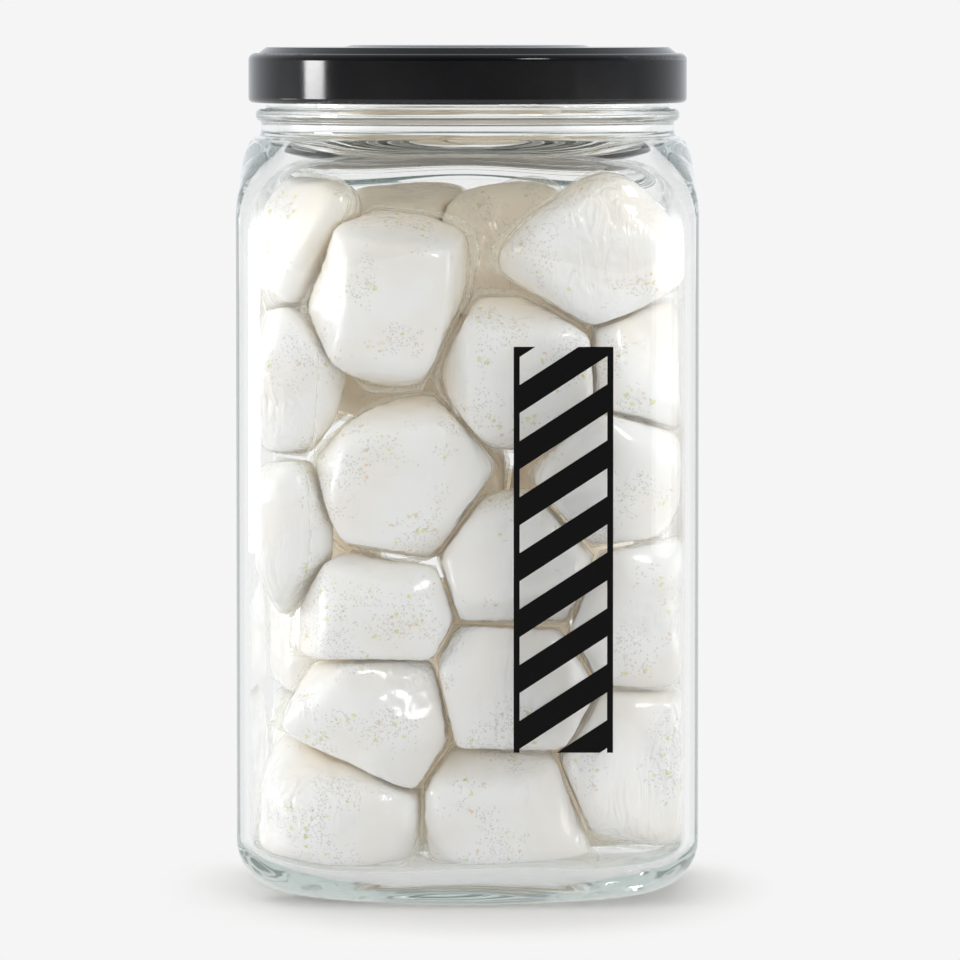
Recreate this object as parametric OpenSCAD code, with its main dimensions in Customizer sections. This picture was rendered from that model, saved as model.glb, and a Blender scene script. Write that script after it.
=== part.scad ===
// Square glass storage jar with a lug lid, filled with wrapped powder doses.
// The jar stands on z = 0, its printed face looks toward -Y.

/* [Jar body] */
// Width and depth of the square body
body_w = 108; // [106:1:112]
// Plan radius of the four upright corners
corner_r = 20; // [18:1:22]
// Thickness of the glass in the walls
wall_t = 3; // [2.6:0.1:3.2]
// Height of the inside floor
floor_z = 5.5; // [5:0.1:6]
// Radius of the heel under the flat walls
heel_r = 10; // [9:0.5:11]
// Width of the ring the jar stands on
bearing_w = 6.5; // [5:0.5:8]
// Depth of the hollow under the base
punt_h = 2.2; // [1.5:0.1:2.6]

/* [Shoulder and neck] */
// Height where the walls start to round over
shoulder_z = 165; // [150:1:180]
// Radius of the rounded shoulder edge
shoulder_r = 17; // [16.5:0.1:17.5]
// Height of the rim above the shoulder line
neck_h = 32.8; // [32.6:0.1:34]
// Thickness of the glass at the mouth
finish_t = 2.6; // [2.4:0.1:3]
// How far the bead under the lid stands out from the finish
bead_out = 2.4; // [2.2:0.1:2.8]
// How far the neck under the bead stands out from the finish
neck_out = 1.1; // [0.9:0.1:1.3]

/* [Thread] */
// Rise of the lid in one full turn
lead = 24; // [23.5:0.5:25]
// How far the six thread ridges stand out from the finish
ridge_out = 1.3; // [1.1:0.05:1.4]
// Thickness of a ridge
ridge_t = 1.6; // [1.3:0.1:1.6]

/* [Lid] */
// Outer radius of the lid
lid_r = 52; // [50:0.5:54]
// From the outside of the lid in to the glass inside it
lid_room = 4.1; // [4:0.05:4.3]
// Thickness of the tinplate
plate_t = 0.5; // [0.4:0.1:0.5]
// Height of the skirt
skirt_h = 11.7; // [11.6:0.1:11.9]
// Rise of the raised panel over the outer ring of the lid top
panel_rise = 1.4; // [1.4:0.1:1.8]
// Rise of the middle disc over the panel
disc_rise = 0.5; // [0.3:0.1:0.8]
// Width of the sealing ring
seal_w = 2.2; // [1.8:0.1:2.4]

/* [Print] */
// Height of the printed band
band_h = 94; // [80:1:100]
// Width of the printed band
band_w = 23; // [18:1:23]
// Thickness of the ink
ink_t = 0.06; // [0.05:0.01:0.1]

/* [Doses] */
// Half length of a dose
dose_a = 22; // [21:0.5:23]
// Half width of a dose
dose_b = 19; // [18:0.5:20]
// Half thickness of a dose
dose_c = 14.5; // [13.5:0.5:15]
// Gap kept between neighbours
dose_gap = 0.3; // [0.2:0.05:0.5]

/* [Hidden] */
$fn = 96;
half = body_w / 2;
flat = half - corner_r;
finish_r = lid_r - lid_room;
mouth_r = finish_r - finish_t;
bead_r = finish_r + bead_out;
neck_r = finish_r + neck_out;
thread_r = finish_r + ridge_out;
rim_z = shoulder_z + neck_h;
ring_z = rim_z + 0.1;
lid_z = ring_z - skirt_h;
panel_z = ring_z + panel_rise;
disc_z = panel_z + disc_rise;
disc_r = lid_r * 0.53;
bead_z = lid_z - 2.9;
neck_z = bead_z - 5.1;
seal_r = finish_r - 0.9;
corner_reach = flat * sqrt(2) + corner_r;
bearing_r = half - heel_r - 0.5;
punt_r = bearing_r - bearing_w;
bowl_r = corner_reach - bearing_r + 0.9;
dome_in = neck_r - 3;
dome_r = corner_reach - dome_in + 1.9;
dome_base = neck_z - dome_r;
bead_h = 1.5;
curl_r = 1.2;
edge_r = 1.6;
lug_h = 1.2;
lug_r = finish_r + 0.45;
lug_turn = 8;
ridge_turn = 50;
ridge_z = lid_z + 1.45;

// Section through one wall of the body, rounded at the heel and the shoulder
module wall_section(out, top_r, low_r, low, top) {
  intersection() {
    translate([-out, low]) square([2 * out, top - low]);
    union() {
      translate([-out, low + low_r]) square([2 * out, top - top_r - low - low_r]);
      translate([-out + low_r, low]) square([2 * out - 2 * low_r, low_r + 1]);
      translate([-out + top_r, top - top_r - 1])
        square([2 * out - 2 * top_r, top_r + 1]);
      for (s = [-1, 1]) {
        translate([s * (out - low_r), low + low_r]) circle(r = low_r);
        translate([s * (out - top_r), top - top_r]) circle(r = top_r);
      }
    }
  }
}

// Rounded square block: two crossed slabs and four turned corners
module square_block(out, rc, top_r, low_r, low, top) {
  for (t = [0, 90])
    rotate([0, 0, t]) rotate([90, 0, 0]) translate([0, 0, rc - out])
      linear_extrude(2 * (out - rc)) wall_section(out, top_r, low_r, low, top);
  for (q = [0 : 3])
    rotate([0, 0, 90 * q]) translate([out - rc, out - rc, 0])
      rotate_extrude(angle = 90) intersection() {
        wall_section(rc, top_r, low_r, low, top);
        translate([0, low]) square([rc, top - low]);
      }
}

// Turned envelope that rounds the corners down to the base ring and the neck
module round_limit(shrink) {
  rotate_extrude() intersection() {
    square([2 * half, rim_z]);
    union() {
      translate([0, bowl_r]) square([bearing_r + bowl_r - shrink, dome_base - bowl_r]);
      square([bearing_r, dome_base]);
      translate([bearing_r, bowl_r]) circle(r = bowl_r - shrink);
      translate([0, bowl_r]) square([dome_in, dome_base + dome_r - shrink - bowl_r]);
      translate([dome_in, dome_base]) circle(r = dome_r - shrink);
    }
  }
}

// Glass outside: body with rounded heel and shoulder, neck, bead and finish
module glass_outside() {
  intersection() {
    square_block(half, corner_r, shoulder_r, heel_r, 0, shoulder_z + shoulder_r);
    round_limit(0);
  }
  rotate_extrude() {
    translate([0, neck_z - 8]) square([neck_r, bead_z - bead_h - neck_z + 8]);
    translate([0, bead_z - bead_h]) square([bead_r - bead_h, 2 * bead_h]);
    translate([bead_r - bead_h, bead_z]) circle(r = bead_h, $fn = 48);
    translate([0, bead_z]) square([finish_r, rim_z - 1.2 - bead_z]);
    translate([0, bead_z]) square([finish_r - 1.2, rim_z - bead_z]);
    translate([finish_r - 1.2, rim_z - 1.2]) circle(r = 1.2, $fn = 48);
  }
  for (i = [0 : 5]) rotate([0, 0, 60 * i]) ridge();
}

// One thread ridge: an arc tilted so that it climbs with the lead
module ridge() {
  r = (finish_r + thread_r) / 2;
  climb = atan(lead / (2 * PI * r));
  rise = lead * ridge_turn / 720;
  translate([0, 0, ridge_z + rise]) rotate([climb, 0, 0])
    rotate([0, 0, -ridge_turn / 2]) rotate_extrude(angle = ridge_turn)
      polygon([[finish_r - 1.5, 0], [thread_r, 0.25], [thread_r, ridge_t - 0.25],
        [finish_r - 1.5, ridge_t]]);
}

// Hollow of the jar with its mouth
module glass_inside() {
  intersection() {
    square_block(half - wall_t, corner_r - wall_t, shoulder_r - wall_t,
      heel_r - wall_t, floor_z, shoulder_z + shoulder_r - wall_t);
    round_limit(wall_t);
  }
  translate([0, 0, neck_z - 28]) cylinder(r = mouth_r, h = rim_z - neck_z + 40);
}

module jar() {
  color("lightcyan", 0.4) difference() {
    glass_outside();
    glass_inside();
    punt_ball = (punt_r * punt_r + punt_h * punt_h) / (2 * punt_h);
    translate([0, 0, punt_h - punt_ball]) sphere(r = punt_ball, $fn = 128);
  }
}

// Pressed tinplate lid: skirt, rolled lower edge, stepped top and six lugs
module lid() {
  color("black") {
    rotate_extrude() {
      translate([lid_r - plate_t, lid_z + curl_r])
        square([plate_t, ring_z - edge_r - lid_z - curl_r]);
      translate([lid_r - curl_r, lid_z + curl_r]) circle(r = curl_r, $fn = 48);
      intersection() {
        translate([lid_r - edge_r, ring_z - edge_r]) difference() {
          circle(r = edge_r, $fn = 64);
          circle(r = edge_r - plate_t, $fn = 64);
        }
        translate([lid_r - edge_r, ring_z - edge_r]) square(edge_r);
      }
      translate([lid_r - 2.4, ring_z - plate_t]) square([2.4 - edge_r, plate_t]);
      polygon([[lid_r - 2.4, ring_z - plate_t], [lid_r - 2.4, ring_z],
        [lid_r - 4.2, panel_z], [lid_r - 4.6, panel_z - plate_t]]);
      translate([disc_r + 1.9, panel_z - plate_t])
        square([lid_r - disc_r - 6.1, plate_t]);
      polygon([[disc_r + 1.9, panel_z - plate_t], [disc_r + 1.9, panel_z],
        [disc_r, disc_z], [disc_r - 0.3, disc_z - plate_t]]);
      translate([0, disc_z - plate_t]) square([disc_r, plate_t]);
    }
    for (i = [0 : 5]) rotate([0, 0, 60 * i]) lug();
  }
}

// One inward lug, just below the start of a thread ridge when closed
module lug() {
  rotate([0, 0, -ridge_turn / 2 + lug_turn - 4]) rotate_extrude(angle = 8)
    translate([lug_r, lid_z + 0.15]) square([lid_r - curl_r - lug_r, lug_h]);
}

// Sealing ring between the rim and the lid top
module lid_liner() {
  color("dimgray") translate([0, 0, rim_z + 0.05]) difference() {
    cylinder(r = seal_r, h = panel_z - plate_t - rim_z - 0.1);
    translate([0, 0, -1]) cylinder(r = seal_r - seal_w, h = panel_rise + 3);
  }
}

// Printed band of slanted bars between two thin rails on the front wall
module print_band() {
  rail = band_w * 0.06;
  bar = band_h / 14.5;
  slant = band_w * 0.65;
  color("black")
    translate([flat - 0.3 - band_w, -half - 0.01, shoulder_z * 0.506 - band_h / 2])
      rotate([90, 0, 0]) linear_extrude(ink_t) {
        for (x = [0, band_w - rail]) translate([x, 0]) square([rail, band_h]);
        intersection() {
          square([band_w, band_h]);
          for (k = [-1 : 8])
            translate([0, k * 2 * bar])
              polygon([[0, 0], [band_w, slant], [band_w, slant + bar], [0, bar]]);
        }
      }
}

// Where each dose lies in a jar of the usual size, its spin, tip and turn in
// degrees, and its size
layout = [
  [[-19, -34, 141], [80, 80, 0], 1.02],
  [[-15, -33, 98], [20, 84, 6], 1.05],
  [[-21, -35, 68], [0, 70, -5], 0.92],
  [[-21, -34, 43], [-30, 98, 0], 0.96],
  [[-30, -31, 21], [-15, 62, -10], 1],
  [[9, -33, 21], [15, 75, 5], 1],
  [[10, -35, 50], [5, 90, 0], 1],
  [[11, -33, 79], [8, 62, 0], 0.98],
  [[34, -33, 99], [60, 92, 10], 0.95],
  [[14, -33, 124], [0, 84, 4], 1],
  [[30, -31, 150], [40, 78, 12], 1],
  [[39, -33, 68], [70, 88, 15], 0.95],
  [[38, -31, 33], [80, 84, 10], 0.98],
  [[39, -29, 124], [80, 80, 30], 0.88],
  [[-41, -25, 122], [80, 90, -70], 0.96],
  [[-41, -26, 86], [85, 90, -75], 0.92],
  [[-39, -20, 153], [75, 80, -60], 0.95],
  [[8, -4, 152], [20, 75, 0], 0.98],
  [[-15, 4, 158], [10, 30, 10], 0.95],
  [[-37, 6, 30], [80, 90, -85], 1],
  [[-3, 3, 25], [10, 40, 5], 1.06],
  [[34, 6, 23], [5, 40, 20], 1],
  [[-36, 4, 62], [70, 85, -60], 0.95],
  [[4, 0, 57], [20, 48, -10], 1.12],
  [[36, 2, 54], [75, 80, 60], 0.98],
  [[-10, 1, 95], [15, 50, 10], 1.06],
  [[24, 1, 90], [60, 75, 30], 1],
  [[-14, 2, 128], [85, 50, -10], 1.06],
  [[17, 2, 122], [20, 45, 20], 1.04],
  [[40, 8, 136], [80, 85, 80], 1],
  [[-30, 36, 22], [10, 70, 175], 1],
  [[9, 36, 21], [0, 75, 180], 1],
  [[40, 34, 48], [80, 85, 150], 0.95],
  [[-10, 36, 52], [15, 90, 180], 1],
  [[-38, 34, 78], [80, 85, 200], 0.95],
  [[16, 35, 78], [10, 80, 170], 1],
  [[-14, 36, 98], [80, 80, 185], 1],
  [[39, 33, 96], [75, 85, 140], 0.95],
  [[-35, 35, 126], [85, 75, 200], 0.96],
  [[4, 36, 126], [10, 80, 180], 1],
  [[36, 34, 140], [60, 75, 150], 0.96],
  [[-16, 34, 154], [20, 60, 190], 0.95]
];
side_scale = (half - wall_t) / 51;
tall_scale = shoulder_z / 165;
doses = [for (d = layout) [[d[0].x * side_scale, d[0].y * side_scale,
  d[0].z * tall_scale], d[1], d[2]]];
rings = 10;
sides = 18;
dose_p = 10;

function about_x(v, a) = [v.x, v.y * cos(a) - v.z * sin(a), v.y * sin(a) + v.z * cos(a)];
function about_z(v, a) = [v.x * cos(a) - v.y * sin(a), v.x * sin(a) + v.y * cos(a), v.z];
function turned(v, r) = about_z(about_x(about_z(v, r[0]), r[1]), r[2]);
function axes(r) = [for (v = [[1, 0, 0], [0, 1, 0], [0, 0, 1]]) turned(v, r)];

// Pillow: how far a unit direction reaches in a rounded square cushion
function gauge(u, s) =
  let (x = abs(u.x) / (dose_a * s), y = abs(u.y) / (dose_b * s),
    z = abs(u.z) / ((u.z > 0 ? dose_c : dose_c * 0.85) * s))
  pow(pow(pow(x, 4) + pow(y, 4), 2.2 / 4) + pow(z, 2.2), 1 / 2.2);

// Support of the same cushion along n: where a plane across n would touch it
function support(n, s) =
  let (x = abs(n.x) * dose_a * s, y = abs(n.y) * dose_b * s,
    z = abs(n.z) * (n.z > 0 ? dose_c : dose_c * 0.85) * s)
  pow(pow(pow(x, 1.333) + pow(y, 1.333), 1.833 / 1.333) + pow(z, 1.833), 1 / 1.833);

// Reach of the glass inside along n, from the jar's axis at height 0
function wall_reach(n) =
  let (p = norm([n.x, n.y]), q = flat * (abs(n.x) + abs(n.y)), c = corner_r - wall_t)
  n.z > 0 ? min(q + (c - shoulder_r + wall_t) * p + shoulder_z * n.z
      + shoulder_r - wall_t, dome_in * p + dome_base * n.z + dome_r - wall_t)
    : min(q + (c - heel_r + wall_t) * p + (floor_z + heel_r - wall_t) * n.z
      + heel_r - wall_t, bearing_r * p + bowl_r * n.z + bowl_r - wall_t);

// Planes that bound a dose: the glass around it and every neighbour it meets
function wall_planes(c) = [
  for (e = [-60, -30, 0, 30, 60], a = [0 : 22.5 : 359])
    let (n = [cos(a) * cos(e), sin(a) * cos(e), sin(e)])
    [n, wall_reach(n) - n * c - 0.45],
  [[0, 0, -1], c.z - floor_z - 0.3]
];
function near_planes(i) = [
  for (j = [0 : len(doses) - 1])
    let (v = doses[j][0] - doses[i][0], d = norm(v))
    if (j != i && d < 3 * dose_a)
      let (n = v / d, mine = support(axes(doses[i][1]) * n, doses[i][2]),
        other = support(axes(doses[j][1]) * (-n), doses[j][2]))
      if (mine + other > d - dose_gap) [n, d * mine / (mine + other) - dose_gap / 2]
];

// Surface points on a turned grid of directions, then the closed skin over them
function dose_points(i) =
  let (c = doses[i][0], r = doses[i][1], s = doses[i][2],
    planes = concat(wall_planes(c), near_planes(i)),
    grid = [[0, 0, 1],
      for (k = [1 : rings - 1], m = [0 : sides - 1])
        let (lat = 180 * k / rings, lon = 360 * m / sides)
        [sin(lat) * cos(lon), sin(lat) * sin(lon), cos(lat)],
      [0, 0, -1]])
  [for (g = grid)
    let (u = turned(g, r), all = pow(gauge(g, s), dose_p)
      + add([for (p = planes) pow(max(0, u * p[0] / p[1]), dose_p)]))
    c + u / pow(all, 1 / dose_p)];
function add(v, k = 0) = k < len(v) ? v[k] + add(v, k + 1) : 0;
last = (rings - 1) * sides + 1;
skin = [
  for (m = [0 : sides - 1]) let (n = (m + 1) % sides) [0, 1 + n, 1 + m],
  for (k = [0 : rings - 3], m = [0 : sides - 1])
    let (n = (m + 1) % sides, a = 1 + k * sides, b = a + sides)
    each [[a + m, a + n, b + n], [a + m, b + n, b + m]],
  for (m = [0 : sides - 1])
    let (n = (m + 1) % sides, a = last - sides) [a + m, a + n, last]
];

module dose(i) {
  color("whitesmoke") polyhedron(dose_points(i), skin);
}

jar();
lid();
lid_liner();
print_band();
dose(0);  // dose_01
dose(1);  // dose_02
dose(2);  // dose_03
dose(3);  // dose_04
dose(4);  // dose_05
dose(5);  // dose_06
dose(6);  // dose_07
dose(7);  // dose_08
dose(8);  // dose_09
dose(9);  // dose_10
dose(10);  // dose_11
dose(11);  // dose_12
dose(12);  // dose_13
dose(13);  // dose_14
dose(14);  // dose_15
dose(15);  // dose_16
dose(16);  // dose_17
dose(17);  // dose_18
dose(18);  // dose_19
dose(19);  // dose_20
dose(20);  // dose_21
dose(21);  // dose_22
dose(22);  // dose_23
dose(23);  // dose_24
dose(24);  // dose_25
dose(25);  // dose_26
dose(26);  // dose_27
dose(27);  // dose_28
dose(28);  // dose_29
dose(29);  // dose_30
dose(30);  // dose_31
dose(31);  // dose_32
dose(32);  // dose_33
dose(33);  // dose_34
dose(34);  // dose_35
dose(35);  // dose_36
dose(36);  // dose_37
dose(37);  // dose_38
dose(38);  // dose_39
dose(39);  // dose_40
dose(40);  // dose_41
dose(41);  // dose_42
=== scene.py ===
import math

import bpy
import numpy as np
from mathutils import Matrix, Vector


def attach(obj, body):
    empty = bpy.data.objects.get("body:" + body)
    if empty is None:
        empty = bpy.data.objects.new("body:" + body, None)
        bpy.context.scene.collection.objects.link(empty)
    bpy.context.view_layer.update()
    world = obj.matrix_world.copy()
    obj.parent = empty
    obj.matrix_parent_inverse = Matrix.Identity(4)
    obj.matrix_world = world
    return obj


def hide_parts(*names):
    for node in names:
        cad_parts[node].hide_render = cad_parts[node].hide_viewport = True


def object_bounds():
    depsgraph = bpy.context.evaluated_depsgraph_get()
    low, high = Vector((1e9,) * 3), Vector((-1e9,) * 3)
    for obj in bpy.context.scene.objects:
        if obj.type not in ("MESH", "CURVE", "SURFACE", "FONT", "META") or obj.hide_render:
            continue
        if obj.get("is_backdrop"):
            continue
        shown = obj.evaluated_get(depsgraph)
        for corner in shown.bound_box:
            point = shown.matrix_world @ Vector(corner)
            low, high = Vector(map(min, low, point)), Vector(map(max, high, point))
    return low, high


# A square glass jar of wrapped laundry doses with a black lug lid.
# Metres, in the part's own frame: z = 0 is the table and the printed wall faces -Y.

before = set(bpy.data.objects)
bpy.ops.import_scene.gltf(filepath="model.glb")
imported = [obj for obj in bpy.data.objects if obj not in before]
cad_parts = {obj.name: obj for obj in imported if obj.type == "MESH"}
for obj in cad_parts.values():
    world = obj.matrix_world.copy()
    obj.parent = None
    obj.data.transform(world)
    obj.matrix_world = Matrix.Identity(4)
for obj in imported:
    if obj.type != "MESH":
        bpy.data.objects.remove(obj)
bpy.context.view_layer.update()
scene = bpy.context.scene
mm = 0.001


def toLinear(hexColour):
    # sRGB hex to linear RGBA
    parts = [int(hexColour[i:i + 2], 16) / 255 for i in (1, 3, 5)]
    return [c / 12.92 if c <= 0.04045 else ((c + 0.055) / 1.055) ** 2.4 for c in parts] + [1.0]


def addNode(tree, kind, links=None, stops=(), **settings):
    # Adds one node: settings name its properties or its inputs, links feed its inputs, and stops are
    # the (place, linear colour) pairs of a colour ramp
    node = tree.nodes.new(kind)
    for name, value in settings.items():
        socket = node.inputs.get(name.replace("_", " "))
        if hasattr(node, name):
            setattr(node, name, value)
        elif socket is not None:
            socket.default_value = value
        else:
            node.inputs[int(name[1:])].default_value = value      # i0, i1: inputs by number
    for name, source in (links or {}).items():
        tree.links.new(source, node.inputs[name])
    for place, colour in stops[2:]:
        node.color_ramp.elements.new(0.5)
    for number, (place, colour) in enumerate(stops):
        node.color_ramp.elements[number].position = place
        node.color_ramp.elements[number].color = colour
    return node


def newMaterial(name):
    # An empty node material and its output node
    material = bpy.data.materials.new(name)
    material.use_nodes = True
    material.node_tree.nodes.clear()
    return material, material.node_tree, material.node_tree.nodes.new("ShaderNodeOutputMaterial")


def meshPiece(name, points, faces, material):
    # Makes a smooth-shaded object from arrays of points and quads or triangles
    mesh = bpy.data.meshes.new(name)
    mesh.from_pydata(np.asarray(points).tolist(), [], [list(f) for f in faces])
    mesh.shade_smooth()
    mesh.update()
    piece = bpy.data.objects.new(name, mesh)
    scene.collection.objects.link(piece)
    mesh.materials.append(material)
    return piece


def gridFaces(rows, columns, start=0):
    # Quads of a grid that is closed across its columns; facing outwards when rows climb
    r, c = np.meshgrid(np.arange(rows - 1), np.arange(columns), indexing="ij")
    a = start + r * columns + c
    b = start + r * columns + (c + 1) % columns
    return np.stack([a, b, b + columns, a + columns], -1).reshape(-1, 4)


def capFaces(ring, pole, columns, upward):
    # A fan of triangles from a ring of points to one pole
    c = np.arange(columns)
    first, second = ring + c, ring + (c + 1) % columns
    fan = [first, second, np.full(columns, pole)] if upward else [second, first, np.full(columns, pole)]
    return np.stack(fan, -1)


# light makes long ways inside thick glass; what runs on longer ends in black
bounces = {"all": 20, "diffuse": 6, "glossy": 16, "through": 20}


def clearGlass():
    # Soda-lime container glass, pressed and blown: polished, IOR 1.5, almost clear through a wall
    # and grey-green along it. Lamps shine through, so the doses are lit as they are behind real glass.
    material, tree, output = newMaterial("soda-lime glass, blown")
    body = addNode(tree, "ShaderNodeBsdfPrincipled", Base_Color=toLinear("#FFFFFF"), Roughness=0.0,
                   IOR=1.5, Transmission_Weight=1.0)
    clear = addNode(tree, "ShaderNodeBsdfTransparent", Color=toLinear("#FAFCFB"))
    path = addNode(tree, "ShaderNodeLightPath")
    mix = addNode(tree, "ShaderNodeMixShader", {0: path.outputs["Is Shadow Ray"], 1: body.outputs[0],
                                                2: clear.outputs[0]})
    # painted glow: where light has run on inside the thick base or shoulder past the bounce limits, the glass
    # gives out a plain glow at the room's mean instead of black
    lost = addNode(tree, "ShaderNodeMath", {0: path.outputs["Glossy Depth"]}, operation="GREATER_THAN",
                   i1=bounces["glossy"] - 0.5)
    late = addNode(tree, "ShaderNodeMath", {0: path.outputs["Ray Depth"]}, operation="GREATER_THAN",
                   i1=bounces["all"] - 1.5)
    trapped = addNode(tree, "ShaderNodeMath", {0: lost.outputs[0], 1: late.outputs[0]}, operation="MAXIMUM")
    paintedMeanGlow = addNode(tree, "ShaderNodeEmission", Color=toLinear("#E4E6E6"), Strength=0.6)
    mix = addNode(tree, "ShaderNodeMixShader", {0: trapped.outputs[0], 1: mix.outputs[0], 2: paintedMeanGlow.outputs[0]})
    depth = addNode(tree, "ShaderNodeVolumeAbsorption", Color=(0.745, 0.80, 0.785, 1.0), Density=20.0)
    tree.links.new(mix.outputs[0], output.inputs["Surface"])
    tree.links.new(depth.outputs[0], output.inputs["Volume"])
    return material


def blackLacquer():
    # Tinplate under stoved black lacquer: a deep gloss, softened by a very slight orange peel and by
    # fine handling marks.
    material, tree, output = newMaterial("tinplate, stoved black lacquer")
    place = addNode(tree, "ShaderNodeTexCoord")
    peel = addNode(tree, "ShaderNodeTexNoise", {"Vector": place.outputs["Object"]}, Scale=700.0, Detail=2.0)
    bump = addNode(tree, "ShaderNodeBump", {"Height": peel.outputs["Fac"]}, Strength=0.08, Distance=0.00005)
    wear = addNode(tree, "ShaderNodeTexNoise", {"Vector": place.outputs["Object"]}, Scale=60.0, Detail=4.0)
    rough = addNode(tree, "ShaderNodeMapRange", {"Value": wear.outputs["Fac"]}, To_Min=0.09, To_Max=0.16)
    colour = addNode(tree, "ShaderNodeValToRGB", {"Fac": wear.outputs["Fac"]},
                     [(0.3, toLinear("#08080A")), (0.7, toLinear("#0D0C0F"))]).outputs["Color"]
    # the inside of the sheet has a pale lacquer: where it faces the axis, or faces down under the panel
    facing = addNode(tree, "ShaderNodeNewGeometry").outputs["Normal"]
    outward = addNode(tree, "ShaderNodeVectorMath", {0: place.outputs["Object"]}, operation="MULTIPLY")
    outward.inputs[1].default_value = (1.0, 1.0, 0.0)
    away = addNode(tree, "ShaderNodeVectorMath", {0: outward.outputs[0], 1: facing}, operation="DOT_PRODUCT")
    toAxis = addNode(tree, "ShaderNodeMath", {0: away.outputs["Value"]}, operation="LESS_THAN", i1=-0.02)
    split = addNode(tree, "ShaderNodeSeparateXYZ", {"Vector": facing})
    height = addNode(tree, "ShaderNodeSeparateXYZ", {"Vector": place.outputs["Object"]})
    down = addNode(tree, "ShaderNodeMath", {0: split.outputs["Z"]}, operation="LESS_THAN", i1=-0.4)
    above = addNode(tree, "ShaderNodeMath", {0: height.outputs["Z"]}, operation="GREATER_THAN", i1=0.1890)
    under = addNode(tree, "ShaderNodeMath", {0: down.outputs[0], 1: above.outputs[0]}, operation="MULTIPLY")
    inner = addNode(tree, "ShaderNodeMath", {0: under.outputs[0], 1: toAxis.outputs[0]}, operation="MAXIMUM")
    sides = addNode(tree, "ShaderNodeMix", {0: inner.outputs[0], 6: colour}, data_type="RGBA")
    sides.inputs[7].default_value = toLinear("#EDEAE4")
    paint = addNode(tree, "ShaderNodeBsdfPrincipled", {"Base Color": sides.outputs[2],
                    "Roughness": rough.outputs["Result"], "Normal": bump.outputs["Normal"]}, IOR=1.5)
    tree.links.new(paint.outputs[0], output.inputs["Surface"])
    return material


def sealingCompound():
    # Plastisol sealing ring: matte, pale grey, faintly mottled.
    material, tree, output = newMaterial("plastisol sealing ring")
    place = addNode(tree, "ShaderNodeTexCoord")
    mottle = addNode(tree, "ShaderNodeTexNoise", {"Vector": place.outputs["Object"]}, Scale=400.0, Detail=3.0)
    colour = addNode(tree, "ShaderNodeValToRGB", {"Fac": mottle.outputs["Fac"]},
                     [(0.3, toLinear("#A9A49B")), (0.7, toLinear("#C3BFB6"))]).outputs["Color"]
    body = addNode(tree, "ShaderNodeBsdfPrincipled", {"Base Color": colour}, Roughness=0.6, IOR=1.5)
    tree.links.new(body.outputs[0], output.inputs["Surface"])
    return material


def screenInk():
    # Screen-printed ceramic ink: dense satin black with a fine mesh grain.
    material, tree, output = newMaterial("screen-printed black ink")
    place = addNode(tree, "ShaderNodeTexCoord")
    grain = addNode(tree, "ShaderNodeTexNoise", {"Vector": place.outputs["Object"]}, Scale=2500.0, Detail=2.0)
    colour = addNode(tree, "ShaderNodeValToRGB", {"Fac": grain.outputs["Fac"]},
                     [(0.3, toLinear("#040404")), (0.7, toLinear("#0A0A0B"))]).outputs["Color"]
    bump = addNode(tree, "ShaderNodeBump", {"Height": grain.outputs["Fac"]}, Strength=0.1, Distance=0.00003)
    ink = addNode(tree, "ShaderNodeBsdfPrincipled", {"Base Color": colour, "Normal": bump.outputs["Normal"]},
                  Roughness=0.4, IOR=1.45, Specular_IOR_Level=0.15)
    tree.links.new(ink.outputs[0], output.inputs["Surface"])
    return material


# granules of 0.5 to 1.4 mm: cells per metre, radius in cells, share of the cells, colour, strength
granules = [(620.0, 0.45, 0.16, "#DCDD7C", 0.65), (700.0, 0.42, 0.10, "#E6C08E", 0.6),
            (1900.0, 0.5, 0.60, "#AEAEB0", 0.45)]


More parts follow.
